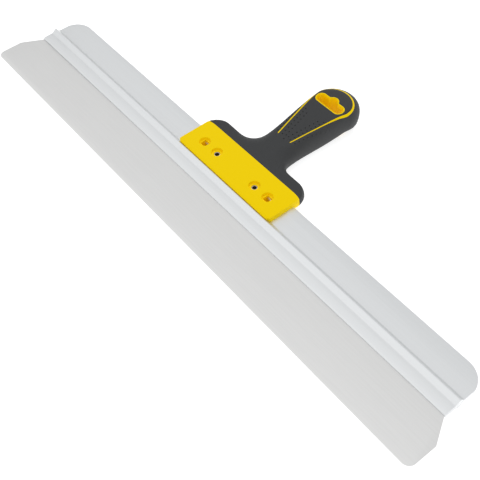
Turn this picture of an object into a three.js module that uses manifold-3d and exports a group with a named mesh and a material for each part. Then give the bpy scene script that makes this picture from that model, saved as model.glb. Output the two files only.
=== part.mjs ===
// A 600 mm taping knife for drywall and plaster work: a stainless blade gripped by an aluminium
// extrusion, and a two-shot plastic handle riveted to the extrusion's web.
//
// Millimetres, +Z up. The pieces are drawn in the tool's own frame: X runs along the blade, Y from
// the working edge (y = 0) towards the handle, and z = 0 is the blade's upper face. The group that
// is exported then moves that frame so that the origin is under the middle of the tool.

import * as THREE from 'three';
import { mergeVertices } from 'three/addons/utils/BufferGeometryUtils.js';
import Module from 'manifold-3d';

const wasm = await Module();
wasm.setup();

// ---------------------------------------------------------------- driving dimensions

const MOULD_GAP = 0.3; // between the two shots of the handle, and round the metal that they hold
const SLIDE_GAP = 0.1; // between the blade and its slot

const BLADE = {
  length: 600,
  depth: 58.5,
  thickness: 0.6,
  cornerRadius: 7,
  sideDepth: 27.5,
};

const PROFILE = {
  length: 576,
  lipY: 48.9,
  slotEndY: 59,
  middleZ: -BLADE.thickness / 2,
  lipHeight: 1.3,
  jawHeight: 1.9,
  jawEndHeight: 2.5,
  jawEndY: 59.6,
  crestY: 64.6,
  crestHeight: 5.5,
  crestRadius: 1,
  valleyY: 68.3,
  webHeight: 1.2,
  backY: 95.5,
  cornerRadius: 20,
  cornerStartY: 80.4,
};

const JAW = {
  frontY: 66.4,
  frontCornerRadius: 5,
  endY: 103.8,
  halfWidth: 66.3,
  topZ: 5.9,
  bottomZ: -6.5,
  roundover: 2,
  straight: 0.4,
};

const SHOULDER = {
  backY: 116.6,
  cornerRadius: 16,
};

const RECESS = {
  y: 83,
  innerX: 27.4,
  outerX: 45.7,
  radius: 5.4,
  topFloorZ: 3.3,
  bottomFloorZ: -3.9,
};

// Square openings in the outer recesses. Each goes down through the web in a plug of the handle
// that keys the two together, and the web's edge shows along its far side.
const WINDOW = {
  side: 6.3,
  floorZ: -2.8,
  ledge: 1.2,
  plugWall: 0.8,
};

const RIVET = {
  shankRadius: 2.5,
  boreRadius: 2.05,
  headRadius: 2.8,
  headHeight: 0.7,
  sunk: 0.5,
  clinchRadius: 3.5,
  clinchHeight: 1,
  holeRadius: 2.65,
  seatRadius: 2.95,
};

const WASHER = {
  innerRadius: 2.8,
  outerRadius: 4.8,
  thickness: 0.8,
};

const GRIP = {
  startY: 106,
  neckEndY: 130,
  tipCentreY: 202.9,
  tipRadius: 24.8,
  flatTipCentreY: 199.5,
  flatTipRadius: 16.8,
  undersideRounding: 6,
  skin: 2.6,
};

const LINE = {
  startY: 141,
  startX: 8.6,
  endX: 20.5,
  shoulderY: 198,
  tipY: 219.5,
  width: 1.4,
};

const HANG_SLOT = {
  halfWidth: 16.4,
  bottomY: 192.7,
  topY: 202.4,
  lobeRadius: 4.6,
  bumpTopY: 206.2,
  bumpHalfWidth: 4.8,
  sleeve: 1.2,
};

// Half-widths and surface heights of the grip, as [distance from the working edge, value]. The
// curves run smoothly through them.
const HALF_WIDTH = [
  [106, 50], [112, 41.5], [117, 33.5], [120.4, 26.9], [124.4, 22.8], [130.2, 20.4], [137.2, 19.5],
  [145, 19.4], [159, 20.3], [174, 21.7], [189, 23], [GRIP.tipCentreY, GRIP.tipRadius],
];
const FLAT_HALF_WIDTH = [
  [106, 28], [116, 17], [124, 9], [133, 7.4], [141, 10.4], [150, 12.6], [160, 13.9], [175, 15.8],
  [190, 16.8], [GRIP.flatTipCentreY, GRIP.flatTipRadius],
];
const TOP_HEIGHT = [
  [106, 5.9], [124, 5.9], [134, 6.1], [142, 6.7], [150, 7.8], [160, 9.3], [172, 10.8], [184, 12.4], [194, 13.6],
  [203, 13.9], [211, 13.85], [226, 13],
];
const BOTTOM_HEIGHT = [
  [106, -6.8], [113, -8.6], [122, -12], [133, -14.3], [150, -14.9], [165, -14.6], [180, -13.6], [196, -12.5],
  [210, -11.9], [226, -11.1],
];

// ---------------------------------------------------------------- solids from three.js geometry

function solidOf(geometry) {
  const bare = geometry.clone();
  bare.deleteAttribute('normal');
  bare.deleteAttribute('uv');
  const merged = mergeVertices(bare, 1e-4);
  return new wasm.Manifold(new wasm.Mesh({
    numProp: 3,
    vertProperties: new Float32Array(merged.attributes.position.array),
    triVerts: new Uint32Array(merged.index.array),
  }));
}

function geometryOf(solid) {
  const mesh = solid.getMesh();
  const geometry = new THREE.BufferGeometry();
  geometry.setAttribute('position', new THREE.BufferAttribute(mesh.vertProperties, 3));
  geometry.setIndex(new THREE.BufferAttribute(mesh.triVerts, 1));
  geometry.computeVertexNormals();
  return geometry;
}

function polygon(points) {
  return new THREE.Shape(points.map(([x, y]) => new THREE.Vector2(x, y)));
}

// A plan outline in X and Y, raised from bottomZ to topZ.
function plate(shape, bottomZ, topZ, curveSegments = 8) {
  const geometry = new THREE.ExtrudeGeometry(shape, {
    depth: topZ - bottomZ,
    bevelEnabled: false,
    curveSegments,
  });
  geometry.translate(0, 0, bottomZ);
  return solidOf(geometry);
}

// A side outline in Y and Z, drawn out along X to both sides of the middle.
function bar(shape, halfLength, curveSegments = 6) {
  const geometry = new THREE.ExtrudeGeometry(shape, {
    depth: 2 * halfLength,
    bevelEnabled: false,
    curveSegments,
  });
  geometry.translate(0, 0, -halfLength);
  geometry.applyMatrix4(new THREE.Matrix4().makeBasis(
    new THREE.Vector3(0, 1, 0),
    new THREE.Vector3(0, 0, 1),
    new THREE.Vector3(1, 0, 0),
  ));
  return solidOf(geometry);
}

function block(x0, x1, y0, y1, z0, z1) {
  const geometry = new THREE.BoxGeometry(x1 - x0, y1 - y0, z1 - z0);
  geometry.translate((x0 + x1) / 2, (y0 + y1) / 2, (z0 + z1) / 2);
  return solidOf(geometry);
}

function pin(x, y, radius, bottomZ, topZ) {
  const geometry = new THREE.CylinderGeometry(radius, radius, topZ - bottomZ, 24);
  geometry.rotateX(Math.PI / 2);
  geometry.translate(x, y, (bottomZ + topZ) / 2);
  return solidOf(geometry);
}

// A skin over rings of points, closed by a fan at each end. Each ring runs the same way round.
function loft(rings) {
  const size = rings[0].length;
  const positions = rings.flat().flatMap((point) => point.toArray());
  const indices = [];
  for (let ring = 0; ring + 1 < rings.length; ring += 1) {
    for (let k = 0; k < size; k += 1) {
      const a = ring * size + k;
      const b = ring * size + (k + 1) % size;
      indices.push(a, b, a + size);
      indices.push(b, b + size, a + size);
    }
  }
  const last = (rings.length - 1) * size;
  for (let k = 1; k + 1 < size; k += 1) {
    indices.push(0, k + 1, k);
    indices.push(last, last + k, last + k + 1);
  }
  const geometry = new THREE.BufferGeometry();
  geometry.setAttribute('position', new THREE.Float32BufferAttribute(positions, 3));
  geometry.setIndex(indices);
  return solidOf(geometry);
}

function smooth(table) {
  const curve = new THREE.SplineCurve(table.map(([y, value]) => new THREE.Vector2(y, value)));
  const samples = curve.getPoints(200);
  return (y) => {
    const next = samples.findIndex((sample) => sample.x >= y);
    if (next <= 0) return next === 0 ? samples[0].y : samples[samples.length - 1].y;
    const [a, b] = [samples[next - 1], samples[next]];
    return a.y + (b.y - a.y) * (y - a.x) / (b.x - a.x);
  };
}

// ---------------------------------------------------------------- blade

function blade() {
  const half = BLADE.length / 2;
  const rearHalf = PROFILE.length / 2 - 0.4;
  const corner = BLADE.cornerRadius;
  const shape = new THREE.Shape();
  shape.moveTo(-half + corner, 0);
  shape.lineTo(half - corner, 0);
  shape.absarc(half - corner, corner, corner, -Math.PI / 2, 0);
  shape.lineTo(half, BLADE.sideDepth);
  shape.lineTo(rearHalf, PROFILE.lipY);
  shape.lineTo(rearHalf, BLADE.depth);
  shape.lineTo(-rearHalf, BLADE.depth);
  shape.lineTo(-rearHalf, PROFILE.lipY);
  shape.lineTo(-half, BLADE.sideDepth);
  shape.absarc(-half + corner, corner, corner, Math.PI, 1.5 * Math.PI);
  return plate(shape, -BLADE.thickness, 0);
}

// ---------------------------------------------------------------- aluminium profile

// The upper half of the section, from the lip over the ridge to the web, as [y, height above the
// middle]. The lower half mirrors it.
function profileFace() {
  const p = PROFILE;
  const face = [
    [p.lipY, p.lipHeight],
    [p.lipY + 0.8, p.jawHeight],
    [p.jawEndY, p.jawEndHeight],
  ];
  for (let step = 0; step <= 4; step += 1) {
    const angle = THREE.MathUtils.degToRad(130 - 25 * step);
    face.push([
      p.crestY + p.crestRadius * Math.cos(angle),
      p.crestHeight - p.crestRadius + p.crestRadius * Math.sin(angle),
    ]);
  }
  face.push([p.valleyY - 0.5, p.webHeight + 0.3]);
  face.push([p.valleyY + 0.3, p.webHeight]);
  face.push([p.backY, p.webHeight]);
  return face;
}

function profilePlan() {
  const p = PROFILE;
  const half = p.length / 2;
  const centreX = half - p.cornerRadius + 0.6;
  const centreY = p.backY - p.cornerRadius;
  const startAngle = Math.asin((p.cornerStartY - centreY) / p.cornerRadius);
  const shape = new THREE.Shape();
  shape.moveTo(-half, p.lipY - 1);
  shape.lineTo(half, p.lipY - 1);
  shape.lineTo(half, p.cornerStartY);
  shape.absarc(centreX, centreY, p.cornerRadius, startAngle, Math.PI / 2);
  shape.absarc(-centreX, centreY, p.cornerRadius, Math.PI / 2, Math.PI - startAngle);
  shape.lineTo(-half, p.cornerStartY);
  return shape;
}

function bladeProfile() {
  const p = PROFILE;
  const face = profileFace();
  const upper = face.map(([y, height]) => [y, p.middleZ + height]);
  const lower = face.map(([y, height]) => [y, p.middleZ - height]).reverse();
  const slotHalf = BLADE.thickness / 2 + SLIDE_GAP;
  const slot = [
    [p.lipY, p.middleZ - slotHalf],
    [p.slotEndY, p.middleZ - slotHalf],
    [p.slotEndY, p.middleZ + slotHalf],
    [p.lipY, p.middleZ + slotHalf],
  ];
  const outline = polygon([...upper, ...lower, ...slot].reverse());
  let solid = bar(outline, p.length / 2);
  solid = solid.intersect(plate(profilePlan(), -10, 10, 10));
  for (const side of [-1, 1]) {
    solid = solid
      .subtract(pin(side * RECESS.innerX, RECESS.y, RIVET.holeRadius, -5, 5))
      .subtract(windowPlug(side * RECESS.outerX, MOULD_GAP / 2));
  }
  return solid;
}

// What goes through the web round a window, grown by gap where the web has to clear it.
function windowPlug(x, gap) {
  const half = WINDOW.side / 2 + WINDOW.plugWall + gap;
  const farY = RECESS.y + WINDOW.side / 2 - WINDOW.ledge + gap;
  return block(x - half, x + half, RECESS.y - half, farY, -3, 2.5);
}

// ---------------------------------------------------------------- outer form of the handle

// The T-shaped head of the handle: a bar with rounded-over ends and back. Its front is cut
// upright later, by frontCorners.
function headForm(grow = 0) {
  const j = JAW;
  const back = SHOULDER.backY + grow;
  const front = j.frontY - 2 * j.roundover;
  const corner = SHOULDER.cornerRadius;
  const half = j.halfWidth + grow;
  const shape = new THREE.Shape();
  shape.moveTo(-half, front);
  shape.lineTo(half, front);
  shape.lineTo(half, back - corner);
  shape.absarc(half - corner, back - corner, corner, 0, Math.PI / 2);
  shape.absarc(-half + corner, back - corner, corner, Math.PI / 2, Math.PI);
  const halfThickness = (j.topZ - j.bottomZ - j.straight) / 2 + grow;
  const geometry = new THREE.ExtrudeGeometry(shape, {
    depth: j.straight,
    bevelEnabled: true,
    bevelSize: j.roundover,
    bevelOffset: -j.roundover,
    bevelThickness: halfThickness,
    bevelSegments: 6,
    curveSegments: 8,
  });
  geometry.translate(0, 0, (j.topZ + j.bottomZ - j.straight) / 2);
  return solidOf(geometry);
}

const halfWidthAt = smooth(HALF_WIDTH);
const topAt = smooth(TOP_HEIGHT);
const bottomAt = smooth(BOTTOM_HEIGHT);
const flatAt = smooth(FLAT_HALF_WIDTH);

// The half-width at y of an outline that follows a table up to centreY and then a round tip.
function roundedHalf(widthAt, centreY, radius, y, inset) {
  if (y <= centreY) return Math.max(0, widthAt(y) - inset);
  return Math.sqrt(Math.max(0, (radius - inset) ** 2 - (y - centreY) ** 2));
}

// One ring across the grip at y, shrunk by inset: a flat top that rounds over into the sides, and
// a fuller underside. Past the flat, the top and the underside close towards the tip.
function gripRing(y, inset, steps) {
  const g = GRIP;
  const width = Math.max(1.2, roundedHalf(halfWidthAt, g.tipCentreY, g.tipRadius, y, inset));
  const flat = Math.min(
    width - 0.6,
    0.3 + roundedHalf(flatAt, g.flatTipCentreY, g.flatTipRadius, y, inset),
  );
  const under = Math.max(0.3, width - g.undersideRounding);
  const flatTip = g.flatTipCentreY + g.flatTipRadius - inset;
  const tip = g.tipCentreY + g.tipRadius - inset;
  const past = Math.min(0.97, Math.max(0, (y - flatTip) / (tip - flatTip)));
  const closing = Math.sqrt(1 - past ** 2);
  const top = topAt(y) - inset;
  const bottom = bottomAt(y) + inset;
  const middle = (top + bottom) / 2;
  const rise = (top - middle) * closing;
  const right = [];
  for (let k = 0; k <= steps; k += 1) {
    const angle = (Math.PI / 2) * (1 - k / steps);
    right.push([flat + (width - flat) * Math.cos(angle), middle + rise * Math.sin(angle)]);
  }
  for (let k = 1; k <= steps; k += 1) {
    const angle = (-Math.PI / 2) * (k / steps);
    right.push([under + (width - under) * Math.cos(angle), middle + rise * Math.sin(angle)]);
  }
  const left = right.map(([x, z]) => [-x, z]).reverse();
  return [...right, ...left].map(([x, z]) => new THREE.Vector3(x, y, z));
}

// The grip, with rings that are closer together in the neck and crowd towards the tip.
function gripForm(inset, spacing, steps) {
  const tip = GRIP.tipCentreY + GRIP.tipRadius - inset;
  const bend = tip - 14;
  const stations = [];
  for (let y = GRIP.startY; y < GRIP.neckEndY; y += spacing / 2) stations.push(y);
  for (let y = GRIP.neckEndY; y < bend - spacing / 2; y += spacing) stations.push(y);
  const closingRings = 6;
  for (let k = 0; k <= closingRings; k += 1) stations.push(tip - 0.05 - (tip - bend) * (1 - k / closingRings) ** 2);
  return loft(stations.map((y) => gripRing(y, inset, steps)));
}

// The whole outside of the handle, both shots together.
function handleForm() {
  const head = headForm().intersect(frontCorners());
  return head.add(gripForm(0, 6, 5));
}

// A tall plate whose front edge and front corners are those of the jaws.
function frontCorners() {
  const r = JAW.frontCornerRadius;
  const half = JAW.halfWidth;
  const front = JAW.frontY;
  const farY = GRIP.tipCentreY;
  const shape = new THREE.Shape();
  shape.moveTo(-half + r, front);
  shape.lineTo(half - r, front);
  shape.absarc(half - r, front + r, r, -Math.PI / 2, 0);
  shape.lineTo(half, farY);
  shape.lineTo(-half, farY);
  shape.absarc(-half + r, front + r, r, Math.PI, 1.5 * Math.PI);
  return plate(shape, -30, 30);
}

// ---------------------------------------------------------------- inside of the handle

// What the first shot is behind the jaws, grown by gap where the second shot has to clear it.
function skeleton(gap) {
  const skin = GRIP.skin - gap;
  const tongue = headForm(-skin).intersect(block(-80, 80, JAW.endY - 6, 130, -20, 20));
  const spine = gripForm(skin, 10, 4);
  return tongue.add(spine);
}

// The line that the rib draws on the top face: two straight legs joined by a round end.
function linePlan(halfWidth) {
  const { startX, startY, endX, shoulderY, tipY } = LINE;
  const lean = Math.atan2(endX - startX, shoulderY - startY);
  const across = [Math.cos(lean) * halfWidth, -Math.sin(lean) * halfWidth];
  const shape = new THREE.Shape();
  shape.moveTo(startX - across[0], startY - across[1]);
  shape.lineTo(startX + across[0], startY + across[1]);
  shape.lineTo(endX + halfWidth, shoulderY);
  shape.absellipse(0, shoulderY, endX + halfWidth, tipY + halfWidth - shoulderY, 0, Math.PI);
  shape.lineTo(-startX - across[0], startY + across[1]);
  shape.lineTo(-startX + across[0], startY - across[1]);
  shape.lineTo(-endX + halfWidth, shoulderY);
  shape.absellipse(0, shoulderY, endX - halfWidth, tipY - halfWidth - shoulderY, Math.PI, 0, true);
  return shape;
}

function lineRib(gap) {
  return plate(linePlan(LINE.width / 2 + gap), 0, 30, 16);
}

// The hanging hole, a wide slot with a bump in the middle for a peg, grown by grow all round.
function hangSlotPlan(grow) {
  const s = HANG_SLOT;
  const radius = s.lobeRadius + grow;
  const centreX = s.halfWidth - s.lobeRadius;
  const lowCentreY = s.bottomY + s.lobeRadius;
  const highCentreY = s.topY - s.lobeRadius;
  const bumpRadius = s.bumpHalfWidth + grow;
  const bumpCentreY = s.bumpTopY - s.bumpHalfWidth;
  const top = s.topY + grow;
  const bumpX = Math.sqrt(bumpRadius ** 2 - (top - bumpCentreY) ** 2);
  const bumpAngle = Math.atan2(top - bumpCentreY, bumpX);
  const shape = new THREE.Shape();
  shape.moveTo(-centreX, s.bottomY - grow);
  shape.absarc(centreX, lowCentreY, radius, -Math.PI / 2, 0);
  shape.absarc(centreX, highCentreY, radius, 0, Math.PI / 2);
  shape.absarc(0, bumpCentreY, bumpRadius, bumpAngle, Math.PI - bumpAngle);
  shape.absarc(-centreX, highCentreY, radius, Math.PI / 2, Math.PI);
  shape.absarc(-centreX, lowCentreY, radius, Math.PI, 1.5 * Math.PI);
  return shape;
}

function hangSlot(grow) {
  return plate(hangSlotPlan(grow), -30, 30, 6);
}

// What the jaws have to clear: the web and the rear slopes of the two ridges.
function webSlot() {
  const p = PROFILE;
  const half = p.webHeight + MOULD_GAP / 2;
  const slope = (p.crestHeight - p.webHeight) / (p.valleyY - p.crestY - p.crestRadius);
  const reach = p.valleyY + 0.9;
  const rise = half + slope * (reach - JAW.frontY + 0.5);
  const slot = bar(polygon([
    [JAW.frontY - 0.5, p.middleZ - rise],
    [reach, p.middleZ - half],
    [p.backY + MOULD_GAP, p.middleZ - half],
    [p.backY + MOULD_GAP, p.middleZ + half],
    [reach, p.middleZ + half],
    [JAW.frontY - 0.5, p.middleZ + rise],
  ]), 90);
  return slot.subtract(windowPlug(-RECESS.outerX, 0)).subtract(windowPlug(RECESS.outerX, 0));
}

// ---------------------------------------------------------------- the two shots of the handle

function handleCore() {
  const outside = handleForm();
  const slot = HANG_SLOT;
  const jaws = outside.intersect(block(-80, 80, 0, JAW.endY, -20, 20));
  const rib = lineRib(0).intersect(outside);
  const sleeve = hangSlot(slot.sleeve).intersect(outside);
  let core = jaws.add(skeleton(0)).add(rib).add(sleeve);
  core = core.subtract(hangSlot(0)).subtract(webSlot());
  for (const side of [-1, 1]) {
    const inner = side * RECESS.innerX;
    const outer = side * RECESS.outerX;
    const half = WINDOW.side / 2;
    const seatZ = RECESS.topFloorZ - RIVET.sunk - RIVET.headHeight - 0.05;
    core = core
      .subtract(pin(inner, RECESS.y, RECESS.radius, RECESS.topFloorZ, 20))
      .subtract(pin(inner, RECESS.y, RECESS.radius, -20, RECESS.bottomFloorZ))
      .subtract(pin(inner, RECESS.y, RIVET.holeRadius, -20, 20))
      .subtract(pin(inner, RECESS.y, RIVET.seatRadius, seatZ, 20))
      .subtract(pin(outer, RECESS.y, RECESS.radius, RECESS.topFloorZ, 20))
      .subtract(block(outer - half, outer + half, RECESS.y - half, RECESS.y + half, WINDOW.floorZ, 20));
  }
  return core;
}

function gripOvermould() {
  const rear = block(-80, 80, JAW.endY + MOULD_GAP, 240, -20, 30);
  return handleForm()
    .intersect(rear)
    .subtract(skeleton(MOULD_GAP))
    .subtract(lineRib(MOULD_GAP))
    .subtract(hangSlot(HANG_SLOT.sleeve + MOULD_GAP));
}

// ---------------------------------------------------------------- rivets and washers

// A hollow rivet: a small head that is sunk in the recess's floor, a shank through the jaws and the
// web, and the clinched end rolled out under the washer. The outline starts and ends on the same
// point.
function rivet() {
  const r = RIVET;
  const top = RECESS.topFloorZ - r.sunk;
  const seat = top - r.headHeight;
  const washerBottom = RECESS.bottomFloorZ - 0.05 - WASHER.thickness - 0.05;
  const end = washerBottom - r.clinchHeight;
  const outline = [
    [r.boreRadius, end + 0.3],
    [r.boreRadius + 0.2, end],
    [r.clinchRadius - 0.4, end],
    [r.clinchRadius, end + 0.4],
    [r.clinchRadius, washerBottom],
    [r.shankRadius, washerBottom],
    [r.shankRadius, seat],
    [r.headRadius, seat],
    [r.headRadius, top - 0.15],
    [r.headRadius - 0.15, top],
    [r.boreRadius + 0.15, top],
    [r.boreRadius, top - 0.15],
    [r.boreRadius, end + 0.3],
  ];
  return lathe(outline);
}

function washer() {
  const w = WASHER;
  const top = RECESS.bottomFloorZ - 0.05;
  const bottom = top - w.thickness;
  return lathe([
    [w.innerRadius, bottom],
    [w.outerRadius, bottom],
    [w.outerRadius, top],
    [w.innerRadius, top],
    [w.innerRadius, bottom],
  ]);
}

function lathe(outline) {
  const geometry = new THREE.LatheGeometry(outline.map(([r, z]) => new THREE.Vector2(r, z)), 20);
  geometry.rotateX(Math.PI / 2);
  return solidOf(geometry);
}

// ---------------------------------------------------------------- assembly

const MATERIALS = {
  stainless: { color: 0xd3d2d0, roughness: 0.3, metalness: 1 },
  aluminium: { color: 0xdcdee0, roughness: 0.4, metalness: 1 },
  yellowPlastic: { color: 0xeed00c, roughness: 0.45, metalness: 0 },
  darkRubber: { color: 0x444646, roughness: 0.75, metalness: 0 },
  rivetSteel: { color: 0xb9babb, roughness: 0.35, metalness: 1 },
};

function piece(name, solid, material) {
  const mesh = new THREE.Mesh(geometryOf(solid), new THREE.MeshStandardMaterial(MATERIALS[material]));
  mesh.name = name;
  return mesh;
}

const tool = new THREE.Group();
tool.add(piece('blade', blade(), 'stainless'));
tool.add(piece('blade_profile', bladeProfile(), 'aluminium'));
tool.add(piece('handle_core', handleCore(), 'yellowPlastic'));
tool.add(piece('grip_overmould', gripOvermould(), 'darkRubber'));
for (const [side, x] of [['left', -RECESS.innerX], ['right', RECESS.innerX]]) {
  for (const [kind, solid] of [['rivet', rivet()], ['washer', washer()]]) {
    const mesh = piece(`${kind}_${side}`, solid, 'rivetSteel');
    mesh.position.set(x, RECESS.y, 0);
    tool.add(mesh);
  }
}

// The origin is at the middle of the bottom of the bounding box.
const bounds = new THREE.Box3().setFromObject(tool);
const middle = bounds.getCenter(new THREE.Vector3());
tool.position.set(-middle.x, -middle.y, -bounds.min.z);

const root = new THREE.Group();
root.add(tool);

export default root;
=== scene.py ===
import math

import bmesh
import bpy
import numpy as np
from mathutils import Euler, Matrix, Vector
from mathutils.geometry import delaunay_2d_cdt


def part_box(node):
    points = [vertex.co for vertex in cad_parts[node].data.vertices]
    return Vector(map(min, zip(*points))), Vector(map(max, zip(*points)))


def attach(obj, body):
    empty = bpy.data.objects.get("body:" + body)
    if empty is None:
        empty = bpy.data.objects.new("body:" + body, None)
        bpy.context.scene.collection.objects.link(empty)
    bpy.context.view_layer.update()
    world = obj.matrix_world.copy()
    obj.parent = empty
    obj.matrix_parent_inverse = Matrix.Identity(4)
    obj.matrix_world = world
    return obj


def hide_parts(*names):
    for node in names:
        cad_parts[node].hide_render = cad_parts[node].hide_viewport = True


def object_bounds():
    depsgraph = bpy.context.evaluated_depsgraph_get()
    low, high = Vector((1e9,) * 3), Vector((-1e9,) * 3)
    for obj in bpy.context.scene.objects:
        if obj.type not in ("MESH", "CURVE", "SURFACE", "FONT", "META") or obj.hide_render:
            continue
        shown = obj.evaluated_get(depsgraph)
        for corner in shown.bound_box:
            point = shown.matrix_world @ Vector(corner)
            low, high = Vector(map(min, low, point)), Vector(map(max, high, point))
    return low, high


# A taping knife: a stainless blade in an aluminium profile, held by a two-shot plastic handle.
#
# Pieces are drawn in millimetres in the tool's own frame and written to the meshes in metres in
# the CAD frame. In the tool's frame X runs along the blade, Y runs from the working edge (y = 0)
# to the tip of the grip, and z = 0 is the blade's upper face.

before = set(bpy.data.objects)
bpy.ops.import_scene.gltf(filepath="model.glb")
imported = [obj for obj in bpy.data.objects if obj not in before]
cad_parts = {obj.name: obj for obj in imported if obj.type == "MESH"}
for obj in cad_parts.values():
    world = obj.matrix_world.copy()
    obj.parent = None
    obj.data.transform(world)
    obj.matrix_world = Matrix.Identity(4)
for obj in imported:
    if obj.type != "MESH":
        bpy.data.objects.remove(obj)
cad_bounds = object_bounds()

MM = 0.001
blade_low, blade_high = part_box("blade")
TOOL_ORIGIN = Vector(((blade_low.x + blade_high.x) / 2, blade_low.y, blade_high.z))

# ------------------------------------------------------------------ driving dimensions, mm

BLADE_LENGTH = 600
BLADE_THICKNESS = 0.6
BLADE_DEPTH = 58.5
BLADE_CORNER = 7
BLADE_SIDE = 27.5

MIDDLE_Z = -BLADE_THICKNESS / 2  # the plane that the profile and the jaws are symmetric about

PROFILE_LENGTH = 576
LIP_Y = 48.9
BACK_Y = 95.5
WEB_HALF = 1.2
WEB_JOIN_Y = 73
BACK_CORNER = 20
BACK_CORNER_START_Y = 80.4
SLOT_HALF = BLADE_THICKNESS / 2 + 0.03
SLOT_END_Y = 59

HEAD_HALF = 66.3
JAW_FRONT_Y = 66.4
JAW_CORNER = 5
JAW_FRONT_EDGE = 0.5  # how far the front edge is rounded over
WEB_ROOM = 0.05
SHOT_LINE_Y = 103.8
SHOT_LINE_BEND = 1.4
SHOT_GAP = 0.02
SHOULDER_BACK_Y = 116.6
SHOULDER_CORNER = 16
TIP_CENTRE_Y = 202.9
TIP_RADIUS = 24.7
GREY_PROUD = 0.12  # how far the soft shot stands above the hard one

RECESS_Y = 83
RIVET_X = 27.4
WINDOW_X = 45.7
RECESS_RADIUS = 5.4
RECESS_FLOOR = 3.6  # above or below the middle plane
RECESS_EDGE = 0.3  # how far a recess's rim is rounded over
RECESS_DRAFT = 0.1
WINDOW_SIDE = 6.3
WINDOW_DEPTH = 1.2  # how far the windows go on below the web
WINDOW_LEDGE = 1.2  # how far the web shows at a window's far side
PLUG_WALL = 0.8
RIVET_HOLE = 2.95
RIVET_BORE = 2.05
RIVET_SINK = 0.5  # below the floor of the recess

# Points that the neck's outline passes through, as (x, y).
NECK_SIDE = [
    (50.6, 116.6), (45, 116.7), (39.3, 117), (32.8, 118), (26.9, 120.4), (22.8, 124.4), (20.4, 130.2),
    (19.5, 137.2), (19.4, 145), (20.3, 159), (21.7, 174), (23, 189), (TIP_RADIUS, TIP_CENTRE_Y),
]

# Heights of the handle's surfaces along the tool, and how far in from its outline each surface
# rounds over, as (y, value).
TOP = [
    (60, 5.9), (124, 5.9), (134, 6.1), (142, 6.65), (150, 7.75), (160, 9.2), (172, 10.7), (184, 12.3),
    (194, 13.5), (202, 13.85), (210, 13.8), (228, 13),
]
UNDER = [
    (60, -6.5), (104, -6.5), (113, -8.6), (122, -12), (133, -14.2), (150, -14.8), (165, -14.5), (180, -13.6),
    (196, -12.5), (210, -11.9), (228, -11),
]
TOP_ROUNDING = [
    (60, 0.9), (102, 0.9), (106, 2.2), (112, 3.2), (116.6, 3.4), (117.3, 6), (118.2, 10.5), (120, 14),
    (126, 14.8), (130, 14.5), (134, 12.5), (139, 9.2), (146, 7.2), (160, 6.4), (175, 5.8), (190, 6), (203, 8),
    (215, 11), (228, 13),
]
UNDER_ROUNDING = [
    (60, 4), (101, 4), (106, 8), (113, 9.4), (116, 9), (119, 5), (133, 5.2), (150, 5.6), (180, 6), (188, 6.6),
    (197, 8.8), (203, 8), (212, 4.5), (228, 4.5),
]

# The yellow line: its half-widths as (y, value), where a leg starts, and the bend round the tip.
LINE_HALF_WIDTH = [(141, 0.55), (168, 0.57), (182, 0.68), (196, 0.84)]
LINE_START = (8.6, 141)
LINE_BEND_HALF = 20.9
LINE_BEND_Y = 201.3
LINE_TIP_Y = 219.5
LINE_DEPTH = 1.2

SLOT_HALF_WIDTH = 16.4
SLOT_LOW_Y = 192.7
SLOT_HIGH_Y = 202.4
SLOT_LOBE = 4.6
SLOT_BUMP_Y = 206.2
SLOT_BUMP_RADIUS = 4.8
SLEEVE_WALL = 1.1

DIMPLE_RADIUS = 0.7
DIMPLE_DEPTH = 0.8
DIMPLE_PITCH = 4.34  # along y
DIMPLE_MIDDLE_X = 0.8
FIRST_DIMPLE = (0, 139.7)
DIMPLE_ROWS = [(1.66, 144.2, 0.87, 8), (5.6, 142.9, 0.87, 9), (12, 142.9, 0.98, 9)]  # x, y, step in x, count


# ------------------------------------------------------------------ curves

def spline(knots):
    """A smooth function through (x, value) knots: a natural cubic spline, level beyond its ends."""
    x, v = np.array(knots, float).T
    step = np.diff(x)
    slope = np.diff(v) / step
    count = len(x)
    system = np.eye(count)
    right = np.zeros(count)
    for k in range(1, count - 1):
        system[k, k - 1:k + 2] = step[k - 1], 2 * (step[k - 1] + step[k]), step[k]
        right[k] = 6 * (slope[k] - slope[k - 1])
    bend = np.linalg.solve(system, right)

    def at(query):
        q = np.clip(np.asarray(query, float), x[0], x[-1])
        k = np.clip(np.searchsorted(x, q) - 1, 0, count - 2)
        a, b = x[k + 1] - q, q - x[k]
        h = step[k]
        curved = (bend[k] * a ** 3 + bend[k + 1] * b ** 3) / (6 * h)
        return curved + (v[k] / h - bend[k] * h / 6) * a + (v[k + 1] / h - bend[k + 1] * h / 6) * b

    return at


def table(knots):
    """A function through (x, value) knots that is straight between them."""
    x, v = np.array(knots, float).T
    return lambda query: np.interp(query, x, v)


def arc(cx, cy, radius, start, end, count):
    """Points on an arc, with its angles in degrees."""
    angle = np.radians(np.linspace(start, end, count))
    return np.column_stack([cx + radius * np.cos(angle), cy + radius * np.sin(angle)])


def circle(x, y, radius, count):
    return arc(x, y, radius, 0, 360, count + 1)[:-1]


def mirrored(points):
    """The same points on the other side, in reverse order."""
    return points[::-1] * (-1, 1)


def closed_line(loop):
    return np.vstack([loop, loop[:1]])


def respaced(points, spacing):
    """The same line with its points at an even spacing."""
    length = np.concatenate([[0], np.cumsum(np.hypot(*np.diff(points, axis=0).T))])
    places = np.linspace(0, length[-1], round(length[-1] / spacing) + 1)
    return np.column_stack([np.interp(places, length, points[:, 0]), np.interp(places, length, points[:, 1])])


def normals(points, closed=False):
    """Unit normals to the right of the direction of travel: outwards on a counter-clockwise line."""
    if closed:
        along = np.roll(points, -1, axis=0) - np.roll(points, 1, axis=0)
    else:
        along = np.gradient(points, axis=0)
    along = along / np.hypot(*along.T)[:, None]
    return np.column_stack([along[:, 1], -along[:, 0]])


def offset(loop, distance):
    """A closed line moved outwards."""
    return loop + normals(loop, True) * distance


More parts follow.
